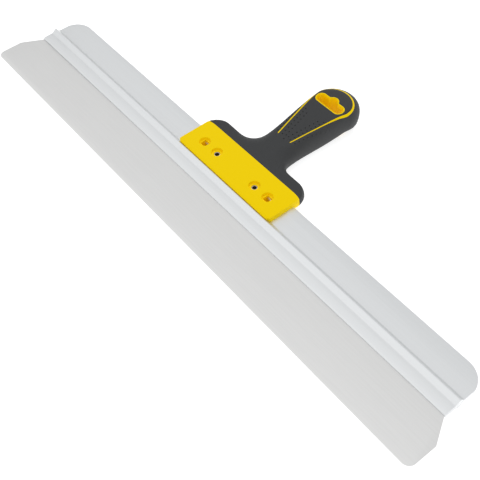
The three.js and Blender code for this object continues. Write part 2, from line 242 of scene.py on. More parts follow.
def distance_to(points, path):
    """For each point, the distance to a line and the number of the nearest stretch."""
    start, along = path[:-1], np.diff(path, axis=0)
    size = (along ** 2).sum(1)
    nearest = np.empty(len(points))
    which = np.empty(len(points), int)
    for k in range(0, len(points), 500):
        p = points[k:k + 500, None]
        t = np.clip(((p - start) * along).sum(2) / size, 0, 1)
        gap = np.hypot(*np.moveaxis(p - start - t[..., None] * along, 2, 0))
        which[k:k + 500] = gap.argmin(1)
        nearest[k:k + 500] = gap.min(1)
    return nearest, which


def distance_round(points, loop):
    """For each point, the distance to a closed line."""
    return distance_to(points, closed_line(loop))[0]


def inside(points, polygon):
    """Whether each point lies inside a closed polygon."""
    x, y = points[:, 0, None], points[:, 1, None]
    ax, ay = polygon.T
    bx, by = np.roll(polygon, -1, axis=0).T
    crosses = (ay > y) != (by > y)
    where = ax + (y - ay) * (bx - ax) / np.where(by == ay, 1, by - ay)
    return (crosses & (x < where)).sum(1) % 2 == 1


def grid(x_half, y0, y1, spacing):
    """Scattered points on a triangular grid."""
    points = []
    for row, y in enumerate(np.arange(y0, y1, spacing * 0.87)):
        shift = spacing / 2 * (row % 2)
        points += [(x, y) for x in np.arange(-x_half + shift, x_half, spacing)]
    return np.array(points)


# ------------------------------------------------------------------ meshes

class Shell:
    """A surface under construction, in millimetres in the tool's frame."""

    def __init__(self):
        self.mesh = bmesh.new()

    def row(self, plan, height):
        """New vertices over plan points, at one height or a height each."""
        heights = np.broadcast_to(height, len(plan))
        return [self.mesh.verts.new((x, y, z)) for (x, y), z in zip(plan, heights)]

    def strip(self, lower, upper, closed=True):
        """Faces between two rows of as many vertices. The rows may share vertices."""
        count = len(lower)
        for k in range(count if closed else count - 1):
            n = (k + 1) % count
            corners = list(dict.fromkeys([lower[k], lower[n], upper[n], upper[k]]))
            if len(corners) > 2:
                self.mesh.faces.new(corners)

    def sheet(self, borders, height, lines=(), scatter=(), up=True):
        """Fills the area inside the first border and outside the others, which are closed rows of
        vertices. The surface also has points on the lines and on the scattered plan points."""
        flat, edges, known = [], [], []
        for border in borders:
            first = len(flat)
            flat += [(v.co.x, v.co.y) for v in border]
            known += border
            edges += [(first + k, first + (k + 1) % len(border)) for k in range(len(border))]
        for line in lines:
            first = len(flat)
            flat += [tuple(point) for point in line]
            edges += [(first + k, first + k + 1) for k in range(len(line) - 1)]
        flat += [tuple(point) for point in scatter]
        spots, _, triangles, origins, _, _ = delaunay_2d_cdt([Vector(p) for p in flat], edges, [], 0, 1e-4)
        spots = np.array([tuple(p) for p in spots])
        middles = spots[np.array([tuple(t) for t in triangles])].mean(1)
        keep = inside(middles, np.array([(v.co.x, v.co.y) for v in borders[0]]))
        for border in borders[1:]:
            keep &= ~inside(middles, np.array([(v.co.x, v.co.y) for v in border]))
        heights = height(spots)
        made = {}

        def vertex(k):
            if k not in made:
                source = min(origins[k], default=len(flat))
                is_border = source < len(known)
                made[k] = known[source] if is_border else self.mesh.verts.new((*spots[k], heights[k]))
            return made[k]

        for triangle, wanted in zip(triangles, keep):
            if wanted:
                corners = [vertex(k) for k in (triangle if up else reversed(triangle))]
                if len(set(corners)) == 3:
                    self.mesh.faces.new(corners)

    def piece(self, name):
        """Closes the work and returns an object in the CAD frame."""
        bmesh.ops.remove_doubles(self.mesh, verts=self.mesh.verts, dist=1e-4)
        bmesh.ops.recalc_face_normals(self.mesh, faces=self.mesh.faces)
        if self.mesh.calc_volume(signed=True) < 0:
            bmesh.ops.reverse_faces(self.mesh, faces=self.mesh.faces)
        for v in self.mesh.verts:
            v.co = v.co * MM + TOOL_ORIGIN
        data = bpy.data.meshes.new(name)
        self.mesh.to_mesh(data)
        self.mesh.free()
        made = bpy.data.objects.new(name, data)
        bpy.context.scene.collection.objects.link(made)
        return made


def apply_modifiers(piece):
    depsgraph = bpy.context.evaluated_depsgraph_get()
    done = bpy.data.meshes.new_from_object(piece.evaluated_get(depsgraph))
    piece.modifiers.clear()
    old = piece.data
    piece.data = done
    bpy.data.meshes.remove(old)


def bevelled(piece, width):
    """Rounds the sharp edges of a piece to a width in mm."""
    bevel = piece.modifiers.new("bevel", "BEVEL")
    bevel.width = width * MM
    bevel.segments = 2
    bevel.limit_method = "ANGLE"
    bevel.angle_limit = math.radians(40)
    apply_modifiers(piece)
    return piece


def cut_away(piece, cutter):
    """Takes the cutter's volume out of the piece and removes the cutter."""
    cut = piece.modifiers.new("cut", "BOOLEAN")
    cut.object = cutter
    cut.solver = "EXACT"
    apply_modifiers(piece)
    bpy.data.objects.remove(cutter)
    return piece


def smoothed(piece, angle=35):
    """Smooth shading, but for the edges that turn by more than an angle in degrees."""
    piece.data.shade_smooth()
    piece.data.set_sharp_from_angle(angle=math.radians(angle))
    return piece


def prism(name, section, half_length):
    """A solid with a section of (y, z) points all along X."""
    shell = Shell()
    ends = [[shell.mesh.verts.new((x, y, z)) for y, z in section] for x in (-half_length, half_length)]
    shell.strip(*ends)
    for end in ends:
        shell.mesh.faces.new(end)
    return shell.piece(name)


def column(name, plan, half_height=4):
    """An upright solid about the middle plane, with a closed plan."""
    shell = Shell()
    under, top = shell.row(plan, MIDDLE_Z - half_height), shell.row(plan, MIDDLE_Z + half_height)
    shell.strip(under, top)
    shell.mesh.faces.new(under)
    shell.mesh.faces.new(top)
    return shell.piece(name)


def lathe(name, outline, x, count=48):
    """A turned piece on the vertical axis at x, RECESS_Y, with a closed outline of (radius, z)."""
    shell = Shell()
    rows = [shell.row(circle(x, RECESS_Y, radius, count), z) for radius, z in outline]
    for row, following in zip(rows, rows[1:] + rows[:1]):
        shell.strip(row, following)
    return smoothed(shell.piece(name))


# ------------------------------------------------------------------ blade

def make_blade():
    half = BLADE_LENGTH / 2
    rear = PROFILE_LENGTH / 2 - 0.4
    corner = arc(half - BLADE_CORNER, BLADE_CORNER, BLADE_CORNER, -90, 0, 16)
    side = np.vstack([corner, [(half, BLADE_SIDE), (rear, LIP_Y - 0.2), (rear, BLADE_DEPTH)]])
    outline = np.vstack([side, mirrored(side)])
    shell = Shell()
    top = shell.row(outline, 0)
    under = shell.row(outline, -BLADE_THICKNESS)
    shell.mesh.faces.new(top)
    shell.mesh.faces.new(under[::-1])
    shell.strip(under, top)
    return smoothed(bevelled(shell.piece("blade_sheet"), 0.12))


# ------------------------------------------------------------------ aluminium profile

def profile_face():
    """The upper half of the section, from the web over the ridge to the lip, as (y, height)."""
    return np.vstack([
        [(WEB_JOIN_Y, WEB_HALF)],
        arc(69.6, 2.9, 1.7, -90, -138, 6),
        arc(64.65, 4.4, 1.1, 40, 122, 9),
        arc(59.2, 4.9, 2.4, -62, -98, 6),
        [(LIP_Y + 0.9, 1.95), (LIP_Y, 1.3)],
    ])


def make_profile():
    half = PROFILE_LENGTH / 2
    face = profile_face()
    slot = [(LIP_Y, SLOT_HALF), (SLOT_END_Y, SLOT_HALF), (SLOT_END_Y, -SLOT_HALF), (LIP_Y, -SLOT_HALF)]
    section = np.vstack([face, slot, face[::-1] * (1, -1)]) + (0, MIDDLE_Z)
    shell = Shell()
    ends = [[shell.mesh.verts.new((x, y, z)) for y, z in section] for x in (-half, half)]
    shell.strip(*ends, closed=False)
    for end in ends:
        shell.mesh.faces.new(end)
    add_web(shell, half)
    profile = bevelled(shell.piece("profile_extrusion"), 0.12)
    for x in (-RIVET_X, RIVET_X):
        cut_away(profile, column("rivet_hole", circle(x, RECESS_Y, RIVET_HOLE, 32)))
    for x in (-WINDOW_X, WINDOW_X):
        cut_away(profile, column("window_hole", plug_plan(x, WEB_ROOM)))
    return smoothed(profile)


def add_web(shell, half):
    """The flat web behind the ridges, with its rounded rear corners."""
    centre_y = BACK_Y - BACK_CORNER
    start = math.degrees(math.asin((BACK_CORNER_START_Y - centre_y) / BACK_CORNER))
    centre_x = half - BACK_CORNER * math.cos(math.radians(start))
    side = np.vstack([[(half, WEB_JOIN_Y)], arc(centre_x, centre_y, BACK_CORNER, start, 90, 24)])
    plan = np.vstack([side, mirrored(side)])
    top = shell.row(plan, MIDDLE_Z + WEB_HALF)
    under = shell.row(plan, MIDDLE_Z - WEB_HALF)
    shell.mesh.faces.new(top)
    shell.mesh.faces.new(under[::-1])
    shell.strip(under, top, closed=False)


# ------------------------------------------------------------------ outer form of the handle

top_at = spline(TOP)
under_at = spline(UNDER)
SIDES = {
    "top": (1, top_at, table(TOP_ROUNDING)),
    "under": (-1, under_at, table(UNDER_ROUNDING)),
}


def handle_outline():
    """The handle's widest outline from in front of the jaws round the tip and back, open in front."""
    corner_x = HEAD_HALF - SHOULDER_CORNER
    corner_y = SHOULDER_BACK_Y - SHOULDER_CORNER
    neck_x, neck_y = np.array(NECK_SIDE, float).T
    travelled = np.concatenate([[0], np.cumsum(np.hypot(np.diff(neck_x), np.diff(neck_y)))])
    places = np.linspace(0, travelled[-1], 160)
    neck_x = spline(list(zip(travelled, neck_x)))(places)
    neck_y = spline(list(zip(travelled, neck_y)))(places)
    side = np.vstack([
        np.linspace((HEAD_HALF, 58), (HEAD_HALF, corner_y), 40)[:-1],
        arc(corner_x, corner_y, SHOULDER_CORNER, 0, 88, 30),
        np.column_stack([neck_x, neck_y]),
        arc(0, TIP_CENTRE_Y, TIP_RADIUS, 0, 90, 60)[1:-1],
    ])
    return respaced(np.vstack([side, [(0, TIP_CENTRE_Y + TIP_RADIUS)], mirrored(side)]), 1.3)


OUTLINE = handle_outline()


def middle_height(points):
    return (top_at(points[:, 1]) + under_at(points[:, 1])) / 2


def surface(points, side, drop=0):
    """The height of the handle's surface, level in the middle and rounding over near the outline.
    A drop lowers it locally, and fades out towards the outline."""
    sign, limit_at, rounding_at = SIDES[side]
    depth, which = distance_to(points, OUTLINE)
    depth = np.where(inside(points, OUTLINE), depth, 0)
    middle = middle_height(points)
    across = np.clip(1 - depth / rounding_at(OUTLINE[which, 1]), 0, 1)
    return middle + (limit_at(points[:, 1]) - sign * drop - middle) * np.sqrt(1 - across ** 2)


def round_over(distance, radius):
    """How far a surface drops at a distance from an edge that is rounded to a radius."""
    reach = np.clip(1 - distance / radius, 0, 1)
    return radius * (1 - np.sqrt(1 - reach ** 2))


# Shares of the rounding's width, close together at the outline where the surface is steep.
ROUNDING_STEPS = (0.01, 0.04, 0.09, 0.16, 0.25, 0.36, 0.5, 0.65, 0.82, 1, 1.2)


def runs(path, wanted):
    """The stretches of a line whose points are wanted."""
    stretches = np.split(np.arange(len(path)), np.nonzero(~wanted)[0])
    trimmed = [stretch[wanted[stretch]] for stretch in stretches]
    return [path[stretch] for stretch in trimmed if len(stretch) > 1]


def rounding_lines(side, keep):
    """Lines along the outline where the surface rounds over, where keep says they are wanted."""
    lines = []
    outward = normals(OUTLINE)
    rounding = SIDES[side][2](OUTLINE[:, 1])
    for step in ROUNDING_STEPS:
        path = OUTLINE - outward * (rounding * step)[:, None]
        depth, _ = distance_to(path, OUTLINE)
        lines += runs(path, keep(path) & (depth > 0.97 * step * rounding))
    return lines


# ------------------------------------------------------------------ plan shapes on the handle

def shot_line(x):
    """The y of the line where the yellow shot ends and the grey one starts."""
    away = np.clip((np.abs(x) - 56) / 10, 0, 1)
    return SHOT_LINE_Y - SHOT_LINE_BEND * away ** 2


def head_half(y):
    """Half the head's width at y, which is less where its rear corners turn in."""
    turned = np.maximum(y - (SHOULDER_BACK_Y - SHOULDER_CORNER), 0)
    return HEAD_HALF - SHOULDER_CORNER + np.sqrt(SHOULDER_CORNER ** 2 - turned ** 2)


def across_head(half):
    """Values of x across the head, closer together at its rounded ends."""
    in_from_end = np.array([0.1, 0.25, 0.5, 1, 1.6, 2.3])
    return np.concatenate([in_from_end - half, np.linspace(-62, 62, 70), (half - in_from_end)[::-1]])


def slot_outline():
    """The hanging hole: a slot with a bump in the middle of its far side."""
    lobe_x = SLOT_HALF_WIDTH - SLOT_LOBE
    low = SLOT_LOW_Y + SLOT_LOBE
    high = SLOT_HIGH_Y - SLOT_LOBE
    bump_y = SLOT_BUMP_Y - SLOT_BUMP_RADIUS
    fillet = 2.2
    lift = SLOT_HIGH_Y + fillet - bump_y
    foot_x = math.sqrt((SLOT_BUMP_RADIUS + fillet) ** 2 - lift ** 2)
    meet = math.degrees(math.atan2(lift, foot_x))
    side = np.vstack([
        [(0, SLOT_LOW_Y)],
        arc(lobe_x, low, SLOT_LOBE, -90, 0, 14),
        arc(lobe_x, high, SLOT_LOBE, 0, 90, 14)[1:],
        arc(foot_x, SLOT_HIGH_Y + fillet, fillet, -90, meet - 180, 8),
        arc(0, bump_y, SLOT_BUMP_RADIUS, meet, 90, 10)[1:],
    ])
    return respaced(np.vstack([side, mirrored(side)[1:]]), 0.8)[:-1]


def line_outline(centre, grow):
    """The yellow line's outline, which widens towards the tip."""
    return band(centre, table(LINE_HALF_WIDTH)(centre[:, 1]) + grow)


def line_centre():
    """The middle of the yellow line: a straight leg, half an ellipse that it touches, and back."""
    bend_size = np.array([LINE_BEND_HALF, LINE_TIP_Y - LINE_BEND_Y])
    x, y = (np.array(LINE_START) - (0, LINE_BEND_Y)) / bend_size
    touch = math.degrees(math.atan2(y, x) + math.acos(1 / math.hypot(x, y)))
    bend = arc(0, 0, 1, touch, 90, 40) * bend_size + (0, LINE_BEND_Y)
    side = np.vstack([[LINE_START], bend])
    return respaced(np.vstack([side, mirrored(side)[1:]]), 1.2)


def band(centre, half_widths):
    """A closed outline round an open line, with round ends, counter-clockwise."""
    side = normals(centre)
    reach = side * half_widths[:, None]
    start = math.degrees(math.atan2(side[0, 1], side[0, 0]))
    end = math.degrees(math.atan2(side[-1, 1], side[-1, 0]))
    far = arc(*centre[-1], half_widths[-1], end, end + 180, 9)[1:-1]
    near = arc(*centre[0], half_widths[0], start + 180, start + 360, 9)[1:-1]
    return np.vstack([centre + reach, far, (centre - reach)[::-1], near])


def rounded_square(x, y, side, corner, count=5):
    half = side / 2 - corner
    quarters = [(half, half, 0), (-half, half, 90), (-half, -half, 180), (half, -half, 270)]
    return np.vstack([arc(x + cx, y + cy, corner, a, a + 90, count) for cx, cy, a in quarters])


def plug_plan(x, grow=0):
    """The part of a window's surroundings that reaches down through the web."""
    half = WINDOW_SIDE / 2 + PLUG_WALL + grow
    low, high = RECESS_Y - half, RECESS_Y + WINDOW_SIDE / 2 - WINDOW_LEDGE + grow
    return np.array([(x - half, low), (x + half, low), (x + half, high), (x - half, high)])


def dimple_centres():
    """One dimple in the middle, and three rows on each side that spread with the yellow line."""
    centres = [FIRST_DIMPLE]
    for x, y, lean, count in DIMPLE_ROWS:
        for side in (-1, 1):
            centres += [(side * (x + lean * k), y + DIMPLE_PITCH * k) for k in range(count)]
    return np.array(centres) + (DIMPLE_MIDDLE_X, 0)


# ------------------------------------------------------------------ hard yellow shot

JAW_HALF = HEAD_HALF - GREY_PROUD
RIVETED = (-RIVET_X, RIVET_X)
ALL_RECESSES = (-WINDOW_X, -RIVET_X, RIVET_X, WINDOW_X)


def jaw_front():
    """The jaws' front edge, from the left side to the right, round its corners."""
    corner = arc(JAW_HALF - JAW_CORNER, JAW_FRONT_Y + JAW_CORNER, JAW_CORNER, -90, 0, 14)
    x = np.linspace(-JAW_HALF + JAW_CORNER, JAW_HALF - JAW_CORNER, 61)[1:-1]
    return np.vstack([mirrored(corner), np.column_stack([x, np.full(59, JAW_FRONT_Y)]), corner])


def jaw_plan():
    """The jaws' whole outline, counter-clockwise from their front left."""
    front = jaw_front()
    y = np.linspace(JAW_FRONT_Y + JAW_CORNER, shot_line(JAW_HALF), 20)[1:]
    edge = np.column_stack([head_half(y) - GREY_PROUD, y])
    x = across_head(edge[-1, 0])[::-1]
    back = np.column_stack([x, shot_line(x)])
    return np.vstack([front, edge, back, mirrored(edge)])


def jaw_height(points, side):
    """The height of the jaws' surface: the handle's, less what the grey shot stands proud by, with
    rounded edges. It is read a little inside the handle's outline, which keeps the ends upright."""
    recesses = ALL_RECESSES if side == "top" else RIVETED
    drop = round_over(distance_to(points, jaw_front())[0], JAW_FRONT_EDGE)
    for x in recesses:
        rim = np.hypot(points[:, 0] - x, points[:, 1] - RECESS_Y) - RECESS_RADIUS
        drop = np.maximum(drop, round_over(np.abs(rim), RECESS_EDGE))
    outward = np.sign(points[:, 0]) * 0.75 * GREY_PROUD
    return surface(points + np.column_stack([outward, np.zeros(len(points))]), side, drop + GREY_PROUD)


def jaw_lines(side_of_jaw, places):
    """Lines along the jaws' rounded edges and round their recesses."""
    plan = jaw_plan()
    rings = [circle(x, RECESS_Y, RECESS_RADIUS + grow, 48) for x in places for grow in (0.08, 0.2, 0.36)]
    lines = [closed_line(ring) for ring in rings]
    front = jaw_front()
    lines += [front - normals(front) * step for step in (0.08, 0.22, 0.45)]
    for step in ROUNDING_STEPS:
        x = JAW_HALF - step * SIDES[side_of_jaw][2](JAW_FRONT_Y)
        y = np.linspace(JAW_FRONT_Y + 0.1, shot_line(x) - 0.1, 24)
        for side in (-1, 1):
            path = np.column_stack([np.full(24, side * x), y])
            lines += runs(path, inside(path, plan))
    return lines


def add_recess(shell, x, side):
    """One round recess in a face of the jaws, with its hole. Returns the rims of both."""
    rim_plan = circle(x, RECESS_Y, RECESS_RADIUS, 48)
    rim = shell.row(rim_plan, jaw_height(rim_plan, side))
    floor_z = MIDDLE_Z + SIDES[side][0] * RECESS_FLOOR
    foot = shell.row(circle(x, RECESS_Y, RECESS_RADIUS - RECESS_DRAFT, 48), floor_z)
    is_window = abs(x) == WINDOW_X
    hole = rounded_square(x, RECESS_Y, WINDOW_SIDE, 0.5) if is_window else circle(x, RECESS_Y, RIVET_HOLE, 32)
    mouth = shell.row(hole, floor_z)
    shell.strip(rim, foot)
    shell.sheet([foot, mouth], lambda spots: np.full(len(spots), floor_z), up=side == "top")
    return rim, mouth


def make_jaws():
    shell = Shell()
    plan = jaw_plan()
    waist = shell.row(plan, MIDDLE_Z)
    spots = grid(60, JAW_FRONT_Y + 2.5, SHOT_LINE_Y - 1.5, 4)
    mouths = {}
    for side, places in (("top", ALL_RECESSES), ("under", RIVETED)):

        def height(points):
            return jaw_height(points, side)

        rims = []
        clear = np.ones(len(spots), bool)
        for x in places:
            rim, mouths[side, x] = add_recess(shell, x, side)
            rims.append(rim)
            clear &= np.hypot(spots[:, 0] - x, spots[:, 1] - RECESS_Y) > RECESS_RADIUS + 0.8
        border = shell.row(plan, height(plan))
        shell.strip(waist, border)
        shell.sheet([border] + rims, height, jaw_lines(side, places), spots[clear], side == "top")
    for x in RIVETED:
        shell.strip(mouths["top", x], mouths["under", x])
    for x in (-WINDOW_X, WINDOW_X):
        mouth = mouths["top", x]
        deep = shell.row([(v.co.x, v.co.y) for v in mouth], MIDDLE_Z - WEB_HALF - WEB_ROOM - WINDOW_DEPTH)
        shell.strip(mouth, deep)
        shell.mesh.faces.new(deep)
    room = prism("web_room", web_room(), HEAD_HALF + 5)
    for x in (-WINDOW_X, WINDOW_X):
        cut_away(room, column("window_plug", plug_plan(x)))
    return smoothed(cut_away(shell.piece("handle_jaws"), room))


def web_room():
    """The section of the room that the jaws leave for the profile's ridges and web."""
    half = WEB_HALF + WEB_ROOM
    upper = np.array([(60, 4.4), (JAW_FRONT_Y, 4.4), (68.9, 1.5), (70, half), (BACK_Y + 0.2, half)])
    return np.vstack([upper, upper[::-1] * (1, -1)]) + (0, MIDDLE_Z)


def make_line():
    """The yellow line that shows between the grey areas of the grip."""
    shell = Shell()
    centre = line_centre()
    edge_plan = line_outline(centre, 0)
    edge = shell.row(edge_plan, surface(edge_plan, "top", 0.12))
    foot = shell.row(edge_plan, surface(edge_plan, "top", LINE_DEPTH))
    lines = [closed_line(line_outline(centre[1:-1], -step)) for step in (0.12, 0.35)] + [centre[1:-1]]

    def crown(points):
        return surface(points, "top", 0.02 + round_over(distance_round(points, edge_plan), 0.1))

    shell.sheet([edge], crown, lines)
    shell.strip(foot, edge)
    shell.sheet([foot], lambda points: surface(points, "top", LINE_DEPTH), up=False)
    return smoothed(shell.piece("grip_line"))


# The sleeve's rims, as (distance out from the hole, depth below the grip's surface).
SLEEVE_RIM = [(SLEEVE_WALL, 1.2), (SLEEVE_WALL, 0.12), (SLEEVE_WALL - 0.1, 0.02), (0.4, 0), (0.16, 0.05),
              (0.04, 0.2), (0, 0.45)]


def make_sleeve():
    """The yellow lining of the hanging hole."""
    shell = Shell()
    inner = slot_outline()
    top_rows, under_rows = [], []
    for grow, drop in SLEEVE_RIM:
        plan = offset(inner, grow)
        top_rows.append(shell.row(plan, surface(plan, "top", drop)))
        under_rows.append(shell.row(plan, surface(plan, "under", drop)))
    wall = []
    for share in (0.2, 0.4, 0.6, 0.8):
        wall.append(shell.row(inner, surface(inner, "top") * (1 - share) + surface(inner, "under") * share))
    rows = top_rows + wall + under_rows[::-1]
    for row, following in zip(rows, rows[1:] + rows[:1]):
        shell.strip(row, following)
    return smoothed(shell.piece("hang_slot_sleeve"))


# ------------------------------------------------------------------ soft grey shot

def make_overmould():
    shell = Shell()
    hole = offset(slot_outline(), SLEEVE_WALL + SHOT_GAP)
    groove = line_outline(line_centre(), SHOT_GAP)
    end_y = shot_line(HEAD_HALF) + SHOT_GAP
    end_x = head_half(end_y)
    x = across_head(end_x)
    front = np.column_stack([x, shot_line(x) + SHOT_GAP])
    waist_plan = OUTLINE[OUTLINE[:, 1] > end_y + 0.7]
    waist_plan = np.vstack([[(end_x, end_y)], waist_plan, [(-end_x, end_y)]])
    waist = shell.row(waist_plan, middle_height(waist_plan))
    fronts, holes = [], []
    for side, line_groove in (("top", groove), ("under", None)):

        def height(points):
            return surface(points, side, grip_drop(points, front, hole, line_groove))

        def clear(points):
            return is_clear(points, hole, line_groove)

        fronts.append(shell.row(front, height(front)))
        holes.append(shell.row(hole, height(hole)))
        borders = [fronts[-1] + waist, holes[-1]]
        lines = rounding_lines(side, clear)
        lines += [closed_line(offset(hole, step)) for step in (0.04, 0.1, 0.17)]
        lines += [(front + (0, step))[4:-4] for step in (0.05, 0.12, 0.22, 0.6)]
        if side == "top":
            borders.append(add_groove(shell, groove, height))
            lines += groove_lines() + dimple_lines()
        spots = grid(60, SHOT_LINE_Y + 2, 226, 3)
        within = inside(spots, OUTLINE) & (distance_to(spots, OUTLINE)[0] > 0.6)
        shell.sheet(borders, height, lines, spots[within & clear(spots)], side == "top")
    ends = waist[-1:], waist[:1]
    shell.strip(ends[0] + fronts[1] + ends[1], ends[0] + fronts[0] + ends[1], closed=False)
    shell.strip(holes[1], holes[0])
    return smoothed(shell.piece("grip_overmould_skin"), 50)


def grip_drop(points, front, hole, groove):
    """How far the grey surface drops at its own edges and, beside the groove, in the dimples."""
    drop = round_over(distance_round(points, hole), 0.15)
    drop = np.maximum(drop, round_over(distance_to(points, front)[0], 0.2))
    if groove is not None:
        drop = np.maximum(drop, round_over(distance_round(points, groove), 0.15))
        for x, y in dimple_centres():
            away = np.hypot(points[:, 0] - x, points[:, 1] - y) / DIMPLE_RADIUS
            drop = np.maximum(drop, DIMPLE_DEPTH * np.clip(1 - away ** 3, 0, 1))
    return drop


def is_clear(points, hole, groove):
    """Whether each plan point is on the grey surface, a little away from its borders."""
    clear = points[:, 1] > shot_line(points[:, 0]) + 0.8
    clear &= ~inside(points, hole) & (distance_round(points, hole) > 0.4)
    if groove is not None:
        clear &= ~inside(points, groove) & (distance_round(points, groove) > 0.35)
    return clear


def add_groove(shell, groove, height):
    """The groove that the yellow line lies in. Returns its rim."""
    rim = shell.row(groove, height(groove))
    depth = LINE_DEPTH + SHOT_GAP
    foot = shell.row(groove, surface(groove, "top", depth))
    shell.strip(rim, foot)
    shell.sheet([foot], lambda points: surface(points, "top", depth))
    return rim


def groove_lines():
    centre = line_centre()
    return [closed_line(line_outline(centre, SHOT_GAP + step)) for step in (0.04, 0.1, 0.17)]


def dimple_lines():
    shares = (1, 0.85, 0.65, 0.35)
    rings = [circle(x, y, DIMPLE_RADIUS * share, 12) for x, y in dimple_centres() for share in shares]
    return [closed_line(ring) for ring in rings]


# ------------------------------------------------------------------ rivets and washers

def make_rivet(name, x):
    """A hollow rivet that is sunk in the floor of its recess, and is clinched below."""
    top = MIDDLE_Z + RECESS_FLOOR - RIVET_SINK
    washer_low = MIDDLE_Z - RECESS_FLOOR - 0.9
    end = washer_low - 1
    bore = RIVET_BORE
    return lathe(name, [
        (bore, top - 0.3), (bore, end + 0.4), (bore + 0.05, end + 0.15), (bore + 0.2, end), (2.9, end),
        (3.3, end + 0.15), (3.5, end + 0.5), (3.5, washer_low), (2.7, washer_low), (2.7, top - 0.8),
        (2.85, top - 0.7), (2.9, top - 0.3), (2.8, top - 0.08), (2.6, top), (bore + 0.25, top),
        (bore + 0.1, top - 0.06), (bore + 0.03, top - 0.16),
    ], x)


def reface(piece, material, wanted):
    """Gives some faces a second material. They are chosen by their middle and their normal."""
    piece.data.materials.append(material)
    for face in piece.data.polygons:
        if wanted((face.center - TOOL_ORIGIN) / MM, face.normal):
            face.material_index = 1


def in_bore(x):
    """Says whether a face is in the bore of the rivet at x."""
    return lambda middle, normal: math.hypot(middle.x - x, middle.y - RECESS_Y) < RIVET_BORE + 0.02


def in_jaw_painted_glow(middle, normal):
    """Whether a face of the jaws is in a recess, or on their upright front or ends by the metal: the faces
    that get the painted glow.
    """
    gaps = [math.hypot(middle.x - x, middle.y - RECESS_Y) for x in ALL_RECESSES]
    is_front = normal.y < -0.6 and middle.y < JAW_FRONT_Y + 1
    is_end = abs(normal.x) > 0.4 and abs(middle.x) > JAW_HALF - 1
    return min(gaps) < RECESS_RADIUS or is_front or is_end


def is_slot_wall(middle, normal):
    return abs(normal.z) < 0.6


def make_washer(name, x):
    top = MIDDLE_Z - RECESS_FLOOR - 0.05
    low = top - 0.8
    return lathe(name, [
        (2.8, low + 0.08), (2.88, low), (4.68, low), (4.8, low + 0.12), (4.8, top - 0.12), (4.68, top),
        (2.88, top), (2.8, top - 0.08),
    ], x)


# ------------------------------------------------------------------ materials

def new_material(name, colour, metallic, roughness):
    """A material, its node tree and its shader, with the values that are the same all over."""
    material = bpy.data.materials.new(name)
    material.use_nodes = True
    shader = material.node_tree.nodes["Principled BSDF"]
    shader.inputs["Base Color"].default_value = (*colour, 1)
    shader.inputs["Metallic"].default_value = metallic
    shader.inputs["Roughness"].default_value = roughness
    return material, material.node_tree, shader


def noise(tree, scale, detail, stretch=(1, 1, 1)):
    """Noise on the object's own coordinates, with a scale per metre."""
    place = tree.nodes.new("ShaderNodeTexCoord")
    mapping = tree.nodes.new("ShaderNodeMapping")
    mapping.inputs["Scale"].default_value = stretch
    texture = tree.nodes.new("ShaderNodeTexNoise")
    texture.inputs["Scale"].default_value = scale
    texture.inputs["Detail"].default_value = detail
    tree.links.new(place.outputs["Object"], mapping.inputs["Vector"])
    tree.links.new(mapping.outputs["Vector"], texture.inputs["Vector"])
    return texture


def vary(tree, texture, socket, low, high):
    """Drives a number socket with a texture, between two values."""
    spread = tree.nodes.new("ShaderNodeMapRange")
    spread.inputs["From Min"].default_value = 0.3
    spread.inputs["From Max"].default_value = 0.7
    spread.inputs["To Min"].default_value = low
    spread.inputs["To Max"].default_value = high
    tree.links.new(texture.outputs["Fac"], spread.inputs["Value"])
    tree.links.new(spread.outputs["Result"], socket)


def vary_colour(tree, texture, socket, low, high):
    ramp = tree.nodes.new("ShaderNodeValToRGB")
    for element, position, colour in zip(ramp.color_ramp.elements, (0.35, 0.65), (low, high)):
        element.position = position
        element.color = (*colour, 1)
    tree.links.new(texture.outputs["Fac"], ramp.inputs["Fac"])
    tree.links.new(ramp.outputs["Color"], socket)


def add_bump(tree, texture, shader, strength, distance):
    """Fine relief, with a distance in mm."""
    bump = tree.nodes.new("ShaderNodeBump")
    bump.inputs["Strength"].default_value = strength
    bump.inputs["Distance"].default_value = distance * MM
    tree.links.new(texture.outputs["Fac"], bump.inputs["Height"])
    tree.links.new(bump.outputs["Normal"], shader.inputs["Normal"])


def stainless():
    """Ground sheet, with its grinding marks along the blade."""
    material, tree, shader = new_material("ground_stainless", (0.78, 0.775, 0.765), 1, 0.34)
    grain = noise(tree, 900, 4, (0.03, 1, 1))
    vary(tree, grain, shader.inputs["Roughness"], 0.28, 0.42)
    vary_colour(tree, grain, shader.inputs["Base Color"], (0.77, 0.765, 0.755), (0.795, 0.79, 0.78))
    add_bump(tree, grain, shader, 0.1, 0.01)
    return material


def aluminium():
    """Satin anodised extrusion, with faint die lines along it."""
    material, tree, shader = new_material("satin_aluminium", (0.8, 0.81, 0.82), 1, 0.42)
    lines = noise(tree, 700, 3, (0.01, 1, 1))
    vary(tree, lines, shader.inputs["Roughness"], 0.36, 0.46)
    vary_colour(tree, lines, shader.inputs["Base Color"], (0.79, 0.8, 0.805), (0.81, 0.82, 0.825))
    add_bump(tree, lines, shader, 0.08, 0.01)
    return material


def yellow_plastic():
    material, tree, shader = new_material("satin_yellow_plastic", (0.8, 0.565, 0.001), 0, 0.42)
    grain = noise(tree, 1400, 2)
    vary(tree, grain, shader.inputs["Roughness"], 0.38, 0.5)
    vary_colour(tree, grain, shader.inputs["Base Color"], (0.795, 0.561, 0.001), (0.805, 0.569, 0.001))
    add_bump(tree, grain, shader, 0.06, 0.02)
    shader.inputs["Specular IOR Level"].default_value = 0.1
    shader.inputs["Specular Tint"].default_value = (1, 0.85, 0.2, 1)
    return material


